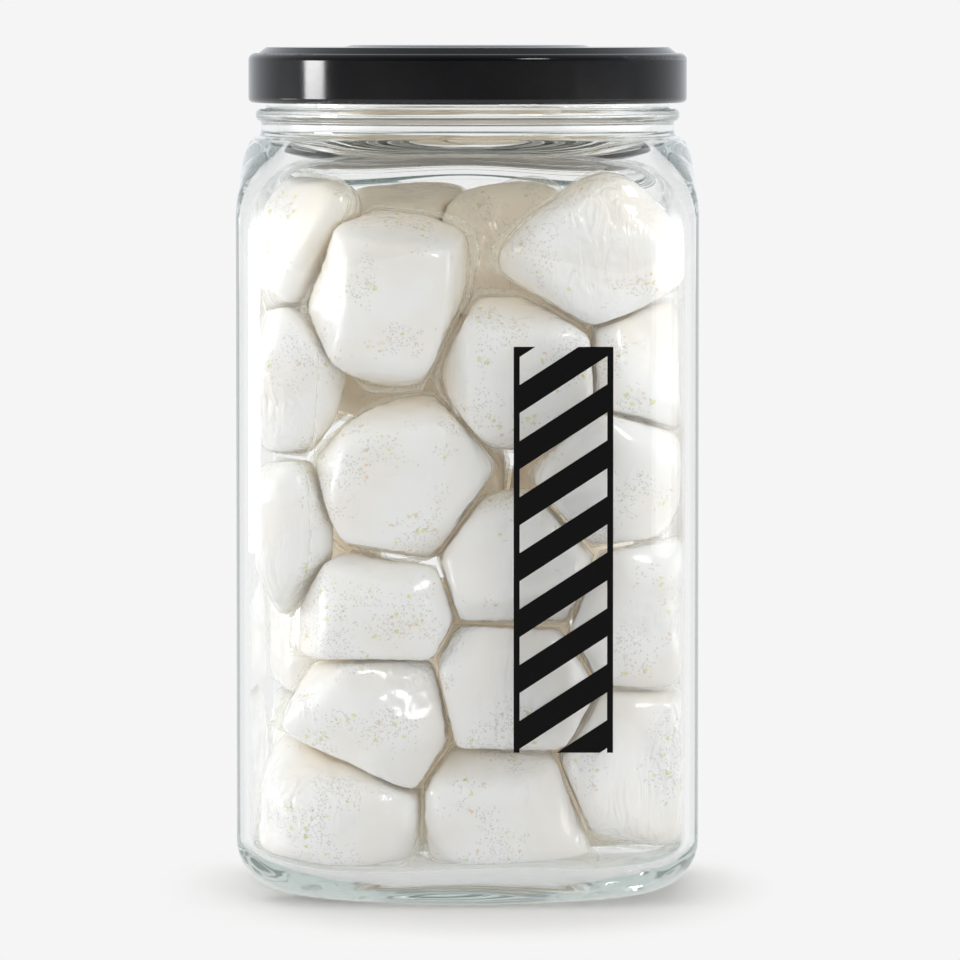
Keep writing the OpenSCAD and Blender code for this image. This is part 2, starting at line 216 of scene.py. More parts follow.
def dosePowder():
    # White washing powder pressed against a tight clear film: fine grain, a few yellow-green, orange
    # and grey granules gathered in patches, a painted beige shade deeper in the jar, and over it the gloss
    # and small creases of the film.
    material, tree, output = newMaterial("washing powder in water-soluble film")
    place = addNode(tree, "ShaderNodeTexCoord").outputs["Object"]
    cloud = addNode(tree, "ShaderNodeTexNoise", {"Vector": place}, Scale=70.0, Detail=3.0)
    colour = addNode(tree, "ShaderNodeValToRGB", {"Fac": cloud.outputs["Fac"]},
                     [(0.35, toLinear("#F8F4EE")), (0.6, toLinear("#FBFBFA"))]).outputs["Color"]
    # painted shade: deeper in the jar the white is tinted beige in the colour itself, standing in for the
    # warm light that reaches there through more film and powder
    split = addNode(tree, "ShaderNodeSeparateXYZ", {"Vector": place})
    acrossX = addNode(tree, "ShaderNodeMath", {0: split.outputs["X"]}, operation="ABSOLUTE")
    acrossY = addNode(tree, "ShaderNodeMath", {0: split.outputs["Y"]}, operation="ABSOLUTE")
    outmost = addNode(tree, "ShaderNodeMath", {0: acrossX.outputs[0], 1: acrossY.outputs[0]},
                      operation="MAXIMUM")
    paintedBeigeShade = addNode(tree, "ShaderNodeMapRange", {"Value": outmost.outputs[0]}, From_Min=0.043, From_Max=0.028,
                   interpolation_type="SMOOTHSTEP")
    shade = addNode(tree, "ShaderNodeMix", {0: paintedBeigeShade.outputs["Result"], 6: colour}, data_type="RGBA")
    # the beige of the painted shade
    shade.inputs[7].default_value = toLinear("#FFF5E2")
    colour = shade.outputs[2]
    patches = addNode(tree, "ShaderNodeTexNoise", {"Vector": place}, Scale=75.0, Detail=3.0)
    gather = addNode(tree, "ShaderNodeMapRange", {"Value": patches.outputs["Fac"]},
                     From_Min=0.52, From_Max=0.62)
    wobble = addNode(tree, "ShaderNodeTexNoise", {"Vector": place}, Scale=900.0, Detail=1.0)
    shifted = addNode(tree, "ShaderNodeVectorMath", {0: wobble.outputs["Color"]}, operation="SCALE",
                      Scale=0.0011)
    ragged = addNode(tree, "ShaderNodeVectorMath", {0: place, 1: shifted.outputs[0]},
                     operation="ADD").outputs[0]
    for scale, radius, share, tint, strength in granules:
        cell = addNode(tree, "ShaderNodeTexVoronoi", {"Vector": ragged}, Scale=scale)
        near = addNode(tree, "ShaderNodeMapRange", {"Value": cell.outputs["Distance"]}, From_Min=radius,
                       From_Max=radius * 0.6)
        pick = addNode(tree, "ShaderNodeSeparateColor", {"Color": cell.outputs["Color"]})
        limit = addNode(tree, "ShaderNodeMath", {0: gather.outputs["Result"]}, operation="MULTIPLY", i1=share)
        chosen = addNode(tree, "ShaderNodeMath", {0: pick.outputs["Red"], 1: limit.outputs[0]},
                         operation="LESS_THAN")
        both = addNode(tree, "ShaderNodeMath", {0: near.outputs["Result"], 1: chosen.outputs[0]},
                       operation="MULTIPLY")
        soft = addNode(tree, "ShaderNodeMath", {0: both.outputs[0]}, operation="MULTIPLY", i1=strength)
        mix = addNode(tree, "ShaderNodeMix", {0: soft.outputs[0], 6: colour}, data_type="RGBA")
        mix.inputs[7].default_value = toLinear(tint)
        colour = mix.outputs[2]
    grain = addNode(tree, "ShaderNodeTexNoise", {"Vector": place}, Scale=1800.0, Detail=1.0)
    grainBump = addNode(tree, "ShaderNodeBump", {"Height": grain.outputs["Fac"]}, Strength=0.1,
                        Distance=0.0002)
    # film creases: thin ridges all over, and combed pleats in some places
    crease = addNode(tree, "ShaderNodeTexNoise", {"Vector": place}, noise_type="RIDGED_MULTIFRACTAL",
                     Scale=48.0, Detail=2.0, Distortion=0.6)
    where = addNode(tree, "ShaderNodeTexNoise", {"Vector": place}, Scale=33.0, Detail=1.0)
    pleated = addNode(tree, "ShaderNodeMapRange", {"Value": where.outputs["Fac"]}, From_Min=0.54,
                      From_Max=0.66)
    turned = addNode(tree, "ShaderNodeMapping", {"Vector": place}, Scale=(330.0, 420.0, 70.0),
                     Rotation=(0.3, 0.7, 0.2))
    comb = addNode(tree, "ShaderNodeTexNoise", {"Vector": turned.outputs[0]}, Scale=1.0, Detail=2.0,
                   Distortion=0.8)
    pleats = addNode(tree, "ShaderNodeMath", {0: comb.outputs["Fac"], 1: pleated.outputs["Result"]},
                     operation="MULTIPLY")
    creaseBump = addNode(tree, "ShaderNodeBump", {"Height": crease.outputs["Fac"]}, Strength=0.45,
                         Distance=0.0014)
    filmBump = addNode(tree, "ShaderNodeBump", {"Height": pleats.outputs[0],
                       "Normal": creaseBump.outputs["Normal"]}, Strength=0.6, Distance=0.002)
    powder = addNode(tree, "ShaderNodeBsdfPrincipled", {"Base Color": colour,
                     "Normal": grainBump.outputs["Normal"], "Coat Normal": filmBump.outputs["Normal"]},
                     Roughness=0.6, IOR=1.4, Coat_Weight=1.0, Coat_Roughness=0.1)
    tree.links.new(filmBump.outputs["Normal"], grainBump.inputs["Normal"])
    tree.links.new(powder.outputs[0], output.inputs["Surface"])
    return material


def clearFilm():
    # Water-soluble film where it stands free of the powder, at the welded seam: thin, clear, crinkled,
    # with bright lines along its creases.
    material, tree, output = newMaterial("water-soluble film")
    place = addNode(tree, "ShaderNodeTexCoord").outputs["Object"]
    crinkle = addNode(tree, "ShaderNodeTexNoise", {"Vector": place}, Scale=500.0, Detail=3.0, Distortion=1.0)
    bump = addNode(tree, "ShaderNodeBump", {"Height": crinkle.outputs["Fac"]}, Strength=0.9, Distance=0.001)
    body = addNode(tree, "ShaderNodeBsdfPrincipled", {"Normal": bump.outputs["Normal"]},
                   Base_Color=toLinear("#F7F6F2"), Roughness=0.1, IOR=1.5)
    onward = addNode(tree, "ShaderNodeBsdfTranslucent", Color=toLinear("#FFFFFD"))
    body = addNode(tree, "ShaderNodeMixShader", {1: body.outputs[0], 2: onward.outputs[0]}, i0=0.5)
    clear = addNode(tree, "ShaderNodeBsdfTransparent", Color=toLinear("#FCFCFA"))
    edge = addNode(tree, "ShaderNodeLayerWeight", {"Normal": bump.outputs["Normal"]}, Blend=0.35)
    cover = addNode(tree, "ShaderNodeMapRange", {"Value": edge.outputs["Facing"]}, To_Min=0.16, To_Max=0.6)
    mix = addNode(tree, "ShaderNodeMixShader", {0: cover.outputs["Result"], 1: clear.outputs[0],
                                                2: body.outputs[0]})
    tree.links.new(mix.outputs[0], output.inputs["Surface"])
    return material


glass = clearGlass()
film = clearFilm()
lacquer = blackLacquer()
compound = sealingCompound()
ink = screenInk()
powder = dosePowder()
print("materials made")


# in mm, heights from the table and radii from the axis; Corner means the value at the rounded corners
jarSize = {"half": 54.0, "corner": 20.0, "wall": 3.0, "ring": 43.5, "ringInner": 37.0, "punt": 2.2,
           "floor": 5.5, "floorFlat": 41.5, "floorFollow": 0.35, "crown": 0.5, "crownWide": 18.0,
           "heel": 9.6, "heelCorner": 16.0, "innerHeel": 7.0, "innerHeelCorner": 10.0, "fillet": 1.2,
           "shoulder": 165.0, "shoulderCorner": 158.0, "shoulderSlope": 1.15, "shoulderDrop": 1.5,
           "neckTop": 178.2, "neck": 49.0, "bead": 183.3, "beadOut": 50.3, "beadHalf": 1.5,
           "finish": 47.9, "mouth": 45.3, "rim": 197.8, "rimOuter": 1.2, "rimInner": 0.8,
           "ridge": 49.2, "ridgeLow": 187.65,
           "ridgeThick": 1.6, "lead": 24.0, "columns": 384}


def squareRadius(angle, half, corner):
    # Distance from the axis to a rounded square of half width and corner radius, by angle
    a = np.abs((angle + np.pi / 4) % (np.pi / 2) - np.pi / 4)      # 0 mid-flat, 45 degrees at a corner
    flat = half / np.cos(a)
    c = half - corner
    reach = c * np.cos(a) + c * np.sin(a)
    arc = reach + np.sqrt(np.maximum(corner ** 2 - 2 * c * c + reach ** 2, 0))
    return np.where(half * np.tan(a) < c, flat, arc)


def softStep(x):
    x = np.clip(x, 0, 1)
    return x * x * (3 - 2 * x)


def ridgeOut(angle, z, s):
    # Six thread ridges: each climbs with the lead over 50 degrees and fades at its ends
    turn = (np.degrees(angle) + 30) % 60 - 30
    middle = s["ridgeLow"] + s["ridgeThick"] / 2 + s["lead"] * (turn + 25) / 360
    up = np.abs(z - middle) / (s["ridgeThick"] / 2)
    body = softStep((1.25 - up) / 0.5)
    ends = softStep((25.0 - np.abs(turn)) / 2.5)
    return (s["ridge"] - s["finish"]) * body * ends


def jarGlass():
    # Rows run from the middle of the hollow base, out and up the outside, over the rim, down the
    # inside and in to the middle of the floor. Each row is (radius by angle, height by angle).
    s = jarSize
    n = s["columns"]
    angle = np.arange(n) * 2 * np.pi / n
    outer = squareRadius(angle, s["half"], s["corner"])
    inside = s["half"] - s["wall"]
    inner = squareRadius(angle, inside, s["corner"] - s["wall"])
    corner = (outer - s["half"]) / (outer.max() - s["half"])       # 0 on the flats, 1 at the corners
    blend = corner ** 0.8
    one = np.ones(n)
    rows = []

    def add(radius, height):
        rows.append((radius * one, height * one))

    for r in np.linspace(4, s["ringInner"], 12):                   # hollow of the base, a shallow dome
        add(r, s["punt"] * (1 - (r / s["ringInner"]) ** 2))
    add(s["ringInner"] + 0.4, 0.0)
    add((s["ringInner"] + s["ring"]) / 2, 0.0)
    heel = s["heel"] + (s["heelCorner"] - s["heel"]) * blend
    for t in np.linspace(0, np.pi / 2, 22):                        # heel: a quarter ellipse for each angle
        add(s["ring"] + (outer - s["ring"]) * np.sin(t), heel * (1 - np.cos(t)))
    start = s["shoulder"] + (s["shoulderCorner"] - s["shoulder"]) * blend
    for t in np.linspace(0, 1, 9)[1:-1]:
        add(outer, heel + (start - heel) * t)
    reach = s["neck"] + s["fillet"]
    slope = s["shoulderSlope"]
    for t in np.linspace(0, np.pi / 2, 24):                        # shoulder: from the wall over to the neck
        add(reach + (outer - reach) * np.cos(t) ** slope, start + (s["neckTop"] - start) * np.sin(t))
    for t in np.linspace(0, np.pi / 2, 7)[1:]:
        add(reach - s["fillet"] * np.sin(t), s["neckTop"] + s["fillet"] * (1 - np.cos(t)))
    low = s["bead"] - s["beadHalf"]
    for z in np.linspace(s["neckTop"] + s["fillet"] + 0.3, low - 0.25, 4):
        add(s["neck"], z)
    add(s["neck"] + 0.15, low)
    for t in np.linspace(-np.pi / 2, np.pi / 2, 13):               # bead
        add(s["beadOut"] - s["beadHalf"] * 0.8 * (1 - np.cos(t)), s["bead"] + s["beadHalf"] * np.sin(t))
    add(s["finish"] + 0.15, s["bead"] + s["beadHalf"])
    for z in np.arange(s["bead"] + s["beadHalf"] + 0.3, s["rim"] - 1.25, 0.3):
        add(s["finish"] + ridgeOut(angle, z, s), z)
    outerEdge, innerEdge = s["rimOuter"], s["rimInner"]
    for t in np.linspace(0, np.pi / 2, 7):                         # rim, rounded on both edges
        add(s["finish"] - outerEdge + outerEdge * np.cos(t), s["rim"] - outerEdge + outerEdge * np.sin(t))
    for t in np.linspace(0, np.pi / 2, 7):
        add(s["mouth"] + innerEdge - innerEdge * np.sin(t), s["rim"] - innerEdge + innerEdge * np.cos(t))
    roof = s["neckTop"] - s["wall"]
    spring = start - s["shoulderDrop"]                             # where the shoulder starts inside
    for z in np.linspace(s["rim"] - 1.5, roof + 0.8, 12):
        add(s["mouth"], z)
    wave = 0.12 * np.sin(3 * angle + 1.0) + 0.08 * np.sin(7 * angle)
    for t in np.linspace(np.pi / 2, 0, 22):                        # under the shoulder, uneven as blown
        uneven = wave * math.sin(2 * t)
        level = spring + (roof - spring) * np.sin(t) + uneven
        add(s["mouth"] + (inner - s["mouth"]) * np.cos(t) ** slope, level)
    floorEdge = s["floorFlat"] + (inner - inside) * s["floorFollow"]     # rounder than the walls
    lift = s["innerHeel"] + (s["innerHeelCorner"] - s["innerHeel"]) * blend
    for t in np.linspace(0, 1, 9)[1:-1]:
        add(inner, spring + (s["floor"] + lift - spring) * t)
    for t in np.linspace(np.pi / 2, 0, 20):
        uneven = 0.25 * np.sin(5 * angle + 2.0) * math.sin(2 * t)
        add(floorEdge + (inner - floorEdge) * np.sin(t), s["floor"] + lift * (1 - np.cos(t)) + uneven)
    for t in np.linspace(0.92, 0.08, 11):
        add(floorEdge * t, s["floor"] + s["crown"] * np.exp(-(floorEdge * t / s["crownWide"]) ** 2))
    radius = np.array([r for r, z in rows])
    height = np.array([z for r, z in rows])
    points = np.stack([radius * np.cos(angle), radius * np.sin(angle), height], -1).reshape(-1, 3)
    poles = np.array([[0, 0, s["punt"]], [0, 0, s["floor"] + s["crown"]]])
    count = len(points)
    faces = gridFaces(len(rows), n)
    fans = np.concatenate([capFaces(0, count, n, False), capFaces(count - n, count + 1, n, True)])
    points = np.concatenate([points, poles]) * mm
    piece = meshPiece("jar_glass", points, faces.tolist() + fans.tolist(), glass)
    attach(piece, "jar")
    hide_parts("jar")
    print("jar glass:", len(faces), "quads")
    return piece


jarGlass()


# half sizes, gaps and depths in mm; cut and face are how tight the film is over a facet, as shares, crisp is
# the power that rounds the edges, and slack is how much of its full size the cushion takes
doseSize = {"a": 22.0, "b": 19.0, "c": 14.5, "underside": 0.85, "gap": 0.3, "glassGap": 0.45, "near": 66,
            "crisp": 24, "rings": 54, "sides": 88,
            "facets": 4, "cut": (0.82, 0.94), "face": (0.74, 0.88), "tilt": 0.22, "slack": 0.99, "dent": 0.7,
            "pleat": 0.35, "fine": 0.12, "skin": 0.25}
# centre in mm, (spin, tip, turn) in degrees, size: the same layout as the part's solids
doseLayout = [
    ((-19, -34, 141), (80, 80, 0), 1.02), ((-15, -33, 98), (20, 84, 6), 1.05),
    ((-21, -35, 68), (0, 70, -5), 0.92), ((-21, -34, 43), (-30, 98, 0), 0.96),
    ((-30, -31, 21), (-15, 62, -10), 1), ((9, -33, 21), (15, 75, 5), 1),
    ((10, -35, 50), (5, 90, 0), 1), ((11, -33, 79), (8, 62, 0), 0.98),
    ((34, -33, 99), (60, 92, 10), 0.95), ((14, -33, 124), (0, 84, 4), 1),
    ((30, -31, 150), (40, 78, 12), 1), ((39, -33, 68), (70, 88, 15), 0.95),
    ((38, -31, 33), (80, 84, 10), 0.98), ((39, -29, 124), (80, 80, 30), 0.88),
    ((-41, -25, 122), (80, 90, -70), 0.96), ((-41, -26, 86), (85, 90, -75), 0.92),
    ((-39, -20, 153), (75, 80, -60), 0.95), ((8, -4, 152), (20, 75, 0), 0.98),
    ((-15, 4, 158), (10, 30, 10), 0.95), ((-37, 6, 30), (80, 90, -85), 1),
    ((-3, 3, 25), (10, 40, 5), 1.06), ((34, 6, 23), (5, 40, 20), 1),
    ((-36, 4, 62), (70, 85, -60), 0.95), ((4, 0, 57), (20, 48, -10), 1.12),
    ((36, 2, 54), (75, 80, 60), 0.98), ((-10, 1, 95), (15, 50, 10), 1.06),
    ((24, 1, 90), (60, 75, 30), 1), ((-14, 2, 128), (85, 50, -10), 1.06),
    ((17, 2, 122), (20, 45, 20), 1.04), ((40, 8, 136), (80, 85, 80), 1),
    ((-30, 36, 22), (10, 70, 175), 1), ((9, 36, 21), (0, 75, 180), 1),
    ((40, 34, 48), (80, 85, 150), 0.95), ((-10, 36, 52), (15, 90, 180), 1),
    ((-38, 34, 78), (80, 85, 200), 0.95), ((16, 35, 78), (10, 80, 170), 1),
    ((-14, 36, 98), (80, 80, 185), 1), ((39, 33, 96), (75, 85, 140), 0.95),
    ((-35, 35, 126), (85, 75, 200), 0.96), ((4, 36, 126), (10, 80, 180), 1),
    ((36, 34, 140), (60, 75, 150), 0.96), ((-16, 34, 154), (20, 60, 190), 0.95)]


def turnMatrix(turns):
    # Spin about z, then tip about x, then turn about z
    spin, tip, turn = np.radians(turns)

    def aboutZ(a):
        return np.array([[math.cos(a), -math.sin(a), 0], [math.sin(a), math.cos(a), 0], [0, 0, 1]])
    aboutX = np.array([[1, 0, 0], [0, math.cos(tip), -math.sin(tip)], [0, math.sin(tip), math.cos(tip)]])
    return aboutZ(turn) @ aboutX @ aboutZ(spin)


def thick(z, s):
    return np.where(z > 0, doseSize["c"], doseSize["c"] * doseSize["underside"]) * s


def gauge(u, s):
    # Rounded square cushion: 1 over how far it reaches along unit directions u
    x, y = np.abs(u[:, 0]) / (doseSize["a"] * s), np.abs(u[:, 1]) / (doseSize["b"] * s)
    z = np.abs(u[:, 2]) / thick(u[:, 2], s)
    return ((x ** 4 + y ** 4) ** (2.2 / 4) + z ** 2.2) ** (1 / 2.2)


def support(n, s):
    # How far the same cushion reaches across a plane with normal n, by the powers dual to 4 and 2.2
    x, y, z = abs(n[0]) * doseSize["a"] * s, abs(n[1]) * doseSize["b"] * s, abs(n[2]) * float(thick(n[2], s))
    return ((x ** 1.333 + y ** 1.333) ** (1.833 / 1.333) + z ** 1.833) ** (1 / 1.833)


# the room for the doses in mm, as round bodies: radius of a disc, height of its centre and rounding. The
# first two also have a square core of this half width.
jarRoom = {"core": 34, "shoulder": (0, 165, 14), "heel": (10, 12.5, 7), "neck": (46, 154.2, 21),
           "base": (43.5, 25.48, 22.48)}


def wallReach(n):
    # How far the glass inside reaches along n from the base centre: its flats, corners, heel and shoulder
    across = math.hypot(n[0], n[1])
    core = jarRoom["core"] * (abs(n[0]) + abs(n[1]))

    def reach(disc, height, rounding):
        return disc * across + height * n[2] + rounding
    if n[2] > 0:
        return min(core + reach(*jarRoom["shoulder"]), reach(*jarRoom["neck"]))
    return min(core + reach(*jarRoom["heel"]), reach(*jarRoom["base"]))


def boundPlanes(i):
    # Unit normals and distances of the planes that hold dose i: the glass and the middle planes to
    # its neighbours
    centre, turns, s = doseLayout[i]
    c = np.array(centre, float)
    normals, reach = [], []
    for e in np.radians([-60, -30, 0, 30, 60]):
        for a in np.radians(np.arange(0, 359, 22.5)):
            n = np.array([math.cos(a) * math.cos(e), math.sin(a) * math.cos(e), math.sin(e)])
            normals.append(n)
            reach.append(wallReach(n) - n @ c - doseSize["glassGap"])
    normals.append(np.array([0, 0, -1.0]))
    reach.append(c[2] - jarSize["floor"] - doseSize["gap"])
    mine = turnMatrix(turns)
    for j, (other, otherTurns, t) in enumerate(doseLayout):
        v = np.array(other, float) - c
        d = float(np.linalg.norm(v))
        if j == i or d >= doseSize["near"]:
            continue
        n = v / d
        a, b = support(mine.T @ n, s), support(turnMatrix(otherTurns).T @ -n, t)
        normals.append(n)
        reach.append(d * a / (a + b) - doseSize["gap"] / 2)
    return np.array(normals), np.array(reach)


def waves(p, count, low, high, rng):
    # A smooth random field of unit size: a sum of sines along random directions, by wavelength in mm
    k = rng.normal(size=(count, 3))
    k *= (2 * np.pi / rng.uniform(low, high, count) / np.linalg.norm(k, axis=1))[:, None]
    return np.sin(p @ k.T + rng.uniform(0, 6.28, count)).sum(1) / math.sqrt(count / 2)


# facets of the doses at the front, where the film is drawn flat: by dose, (outward normal, tightness)
frontFacets = {
    1: [((0.1, -1, 0.05), 0.80), ((-0.8, -0.55, 0.1), 0.80), ((0.1, -0.45, 0.9), 0.82),
        ((0.95, -0.3, -0.1), 0.92),
        ((-0.1, -0.3, -0.95), 0.90)],
    2: [((0.05, -1, 0), 0.80), ((-0.85, -0.5, 0.2), 0.82), ((0.6, -0.5, -0.6), 0.86),
        ((0, -0.5, 0.87), 0.86)],
    3: [((0, -1, -0.1), 0.84), ((-0.9, -0.4, 0.1), 0.84), ((0, -0.6, 0.8), 0.86)],
    4: [((0.3, -0.9, 0.35), 0.82), ((-0.4, -0.8, -0.45), 0.82), ((-0.6, -0.5, 0.6), 0.88)],
    5: [((0.1, -0.95, -0.2), 0.80), ((0.1, -0.6, 0.8), 0.80), ((-0.8, -0.6, 0), 0.82),
        ((0.7, -0.5, -0.5), 0.85)],
    6: [((-0.1, -1, -0.1), 0.82), ((-0.1, -0.6, 0.8), 0.82), ((0.85, -0.45, 0.2), 0.85),
        ((-0.7, -0.5, -0.5), 0.88)],
    7: [((-0.1, -1, -0.1), 0.82), ((-0.5, -0.7, 0.5), 0.85), ((0, -0.5, -0.85), 0.88)],
    8: [((0, -0.95, 0.3), 0.84), ((0, -0.7, -0.7), 0.84)],
    10: [((0, -1, -0.05), 0.80), ((-0.85, -0.5, -0.1), 0.84), ((0, -0.5, 0.85), 0.84)],
    11: [((0.1, -0.95, 0.2), 0.80), ((-0.6, -0.6, -0.5), 0.85)]}


def makeDose(i):
    # A polar grid of directions. The reach along each is the p-norm of the cushion's gauge and the
    # gauges of planes: those of the glass and the neighbours that press on it, and a few facets
    # where the film is drawn tight. Pleats run out from the seam, and the skin dips a little
    centre, turns, s = doseLayout[i]
    d = doseSize
    rng = np.random.default_rng(100 + i)
    matrix = turnMatrix(turns)
    lat = np.pi * np.arange(1, d["rings"]) / d["rings"]
    lon = 2 * np.pi * np.arange(d["sides"]) / d["sides"]
    la, lo = [g.ravel() for g in np.meshgrid(lat, lon, indexing="ij")]
    local = np.stack([np.sin(la) * np.cos(lo), np.sin(la) * np.sin(lo), np.cos(la)], -1)
    local = np.concatenate([local, [[0, 0, 1], [0, 0, -1]]])
    world = local @ matrix.T
    normals, reach = boundPlanes(i)
    cuts = rng.normal(size=(d["facets"], 3)) * [1, 1, 1.4]
    faces = rng.normal(0, d["tilt"], (2, 3)) * [1, 1, 0] + [[0, 0, 1], [0, 0, -1]]
    cuts = np.vstack([cuts, faces])
    tight = np.append(rng.uniform(*d["cut"], d["facets"]), rng.uniform(*d["face"], 2))
    if i + 1 in frontFacets:
        cuts = np.array([n for n, t in frontFacets[i + 1]]) @ matrix
        tight = np.array([t for n, t in frontFacets[i + 1]])
    cuts /= np.linalg.norm(cuts, axis=1)[:, None]
    cutReach = np.array([support(n, s * d["slack"]) for n in cuts]) * tight
    p = d["crisp"]
    total = gauge(local, s * d["slack"]) ** p
    total += ((np.maximum(world @ normals.T, 0) / reach) ** p).sum(1)
    total += ((np.maximum(local @ cuts.T, 0) / cutReach) ** p).sum(1)
    r = total ** (-1 / p)
    up = np.arcsin(np.clip(local[:, 2], -1, 1))                    # angle above the seam
    around = np.arctan2(local[:, 1], local[:, 0])
    gathered = softStep(0.5 + 0.9 * np.sin(2 * around + rng.uniform(0, 6))
                        + 0.5 * np.sin(5 * around + rng.uniform(0, 6)))
    comb = np.abs(np.sin(17 * around + 1.5 * np.sin(4 * around + rng.uniform(0, 6))))
    pleats = d["pleat"] * gathered * comb * np.exp(-(up / 0.5) ** 2)
    dips = d["dent"] * (0.5 + 0.5 * np.clip(waves(local * r[:, None], 6, 18, 40, rng), -1, 1)) ** 2
    fine = d["fine"] * np.clip(waves(local * r[:, None], 12, 4, 9, rng), -1.5, 1.5)
    r = r - d["skin"] - pleats - dips - np.abs(fine)
    points = np.array(centre, float) + world * r[:, None]
    columns = d["sides"]
    count = len(local)
    grid = gridFaces(d["rings"] - 1, columns)[:, ::-1]
    top = capFaces(0, count - 2, columns, True)
    low = capFaces((d["rings"] - 2) * columns, count - 1, columns, False)
    shell = grid.tolist() + top.tolist() + low.tolist()
    piece = meshPiece("dose_film_%02d" % (i + 1), points * mm, shell, powder)
    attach(piece, "jar")
    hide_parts("dose_%02d" % (i + 1))
    return piece


# in mm: how far the film edge is rooted in the pouch, its least and greatest width, its ears and its flutter
seamSize = {"columns": 220, "root": 0.6, "least": 0.3, "most": 3.8, "ears": 3.4, "thick": 0.14,
            "flutter": 0.9}


def cellReach(i, u):
    # How far dose i could grow along unit directions u before it meets a plane that holds it
    normals, reach = boundPlanes(i)
    ahead = u @ normals.T
    return np.where(ahead > 0.01, reach / np.maximum(ahead, 0.01), 1e3).min(1) - 0.2


def makeSeam(i, outline):
    # The welded edge of the film: a thin clear ribbon round the seam of a dose, wider at its corners,
    # fluttering a little to either side, and never past the middle plane to a neighbour
    centre, turns, s = doseLayout[i]
    d = seamSize
    rng = np.random.default_rng(500 + i)
    matrix = turnMatrix(turns)
    n = d["columns"]
    around = 2 * np.pi * np.arange(n) / n
    local = np.stack([np.cos(around), np.sin(around), np.zeros(n)], -1)
    inner = outline(around)
    ears = np.abs(np.sin(2 * around + rng.normal(0, 0.15))) ** 8
    ragged = (0.6 + 0.25 * np.sin(7 * around + rng.uniform(0, 6))
              + 0.15 * np.sin(19 * around + rng.uniform(0, 6)))
    width = d["least"] + rng.uniform(0.3, 1.0) * ragged + d["ears"] * ears * rng.uniform(0.3, 1.0)
    width = np.clip(width, 0, np.minimum(d["most"], cellReach(i, local @ matrix.T) - inner))
    width = np.maximum(width, 0.05)
    wave = np.sin(9 * around + rng.uniform(0, 6)) + 0.6 * np.sin(23 * around + rng.uniform(0, 6))
    ribbon = ((-d["root"], -1), (0.0, -1), (0.5, -1), (1.0, -0.3),
              (1.0, 0.3), (0.5, 1), (0.0, 1), (-d["root"], 1))     # share of the width, side of the seam
    rows = []
    for out, side in ribbon:
        r = inner + (out * width if out >= 0 else out)
        lift = d["flutter"] * wave * max(out, 0) * width / d["most"] + side * d["thick"] / 2
        rows.append(local * r[:, None] + np.array([0, 0, 1.0]) * lift[:, None])
    points = np.array(centre, float) + np.concatenate(rows) @ matrix.T
    faces = gridFaces(len(rows), n)
    last = (len(rows) - 1) * n
    c = np.arange(n)
    close = np.stack([last + c, last + (c + 1) % n, (c + 1) % n, c], -1)
    piece = meshPiece("dose_seam_%02d" % (i + 1), points * mm, faces.tolist() + close.tolist(), film)
    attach(piece, "jar")


def doseOutline(i):
    # Radius of a dose's skin round its seam
    centre, turns, s = doseLayout[i]
    matrix = turnMatrix(turns)
    p = doseSize["crisp"]
    normals, reach = boundPlanes(i)

    def outline(around):
        u = np.stack([np.cos(around), np.sin(around), np.zeros(len(around))], -1)
        total = gauge(u, s * doseSize["slack"]) ** p
        total += ((np.maximum(u @ matrix.T @ normals.T, 0) / reach) ** p).sum(1)
        return total ** (-1 / p) - 0.4
    return outline


for number in range(len(doseLayout)):
    makeDose(number)
    makeSeam(number, doseOutline(number))
print("doses made:", len(doseLayout))


for nodeName, finish in (("lid", lacquer), ("lid_liner", compound), ("print_band", ink)):
    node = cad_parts[nodeName]
    for slotItem in node.material_slots:
        slotItem.material = finish


def stageMaterial():
    # White paper sweep. Near the jar it keeps a part of the real shadow; further out it fades into the
    # plain pale ground, which the world shows too.
    material, tree, output = newMaterial("white paper sweep")
    paper = addNode(tree, "ShaderNodeBsdfDiffuse", Color=toLinear("#E5E5E5"))
    glow = addNode(tree, "ShaderNodeEmission", Color=toLinear("#F5F5F5"), Strength=1.0)
    place = addNode(tree, "ShaderNodeTexCoord")
    oval = addNode(tree, "ShaderNodeVectorMath", {0: place.outputs["Object"]}, operation="MULTIPLY")
    oval.inputs[1].default_value = (1.2, 0.66, 1.0)
    distance = addNode(tree, "ShaderNodeVectorMath", {0: oval.outputs[0]}, operation="LENGTH")
    share = addNode(tree, "ShaderNodeMapRange", {"Value": distance.outputs["Value"]}, From_Min=0.058,
                    From_Max=0.092, To_Min=0.05, To_Max=1.0, interpolation_type="SMOOTHSTEP")
    path = addNode(tree, "ShaderNodeLightPath")
    openGround = addNode(tree, "ShaderNodeMath", {0: path.outputs["Is Camera Ray"],
                         1: share.outputs["Result"]}, operation="MULTIPLY")
    # seen in the glass the ground is nearly plain, with only a hint of the shadow
    hint = addNode(tree, "ShaderNodeMath", {0: share.outputs["Result"]}, operation="MAXIMUM", i1=0.5)
    seen = addNode(tree, "ShaderNodeMath", {0: path.outputs["Is Transmission Ray"],
                   1: path.outputs["Is Glossy Ray"]}, operation="MAXIMUM")
    bent = addNode(tree, "ShaderNodeMath", {0: seen.outputs[0], 1: hint.outputs[0]}, operation="MULTIPLY")
    both = addNode(tree, "ShaderNodeMath", {0: openGround.outputs[0], 1: bent.outputs[0]},
                   operation="MAXIMUM")
    mix = addNode(tree, "ShaderNodeMixShader", {0: both.outputs[0], 1: paper.outputs[0], 2: glow.outputs[0]})
    tree.links.new(mix.outputs[0], output.inputs["Surface"])
    return material


stageSize = {"half": 6.0, "below": 0.0002}      # in m; the paper lies a hair under the jar


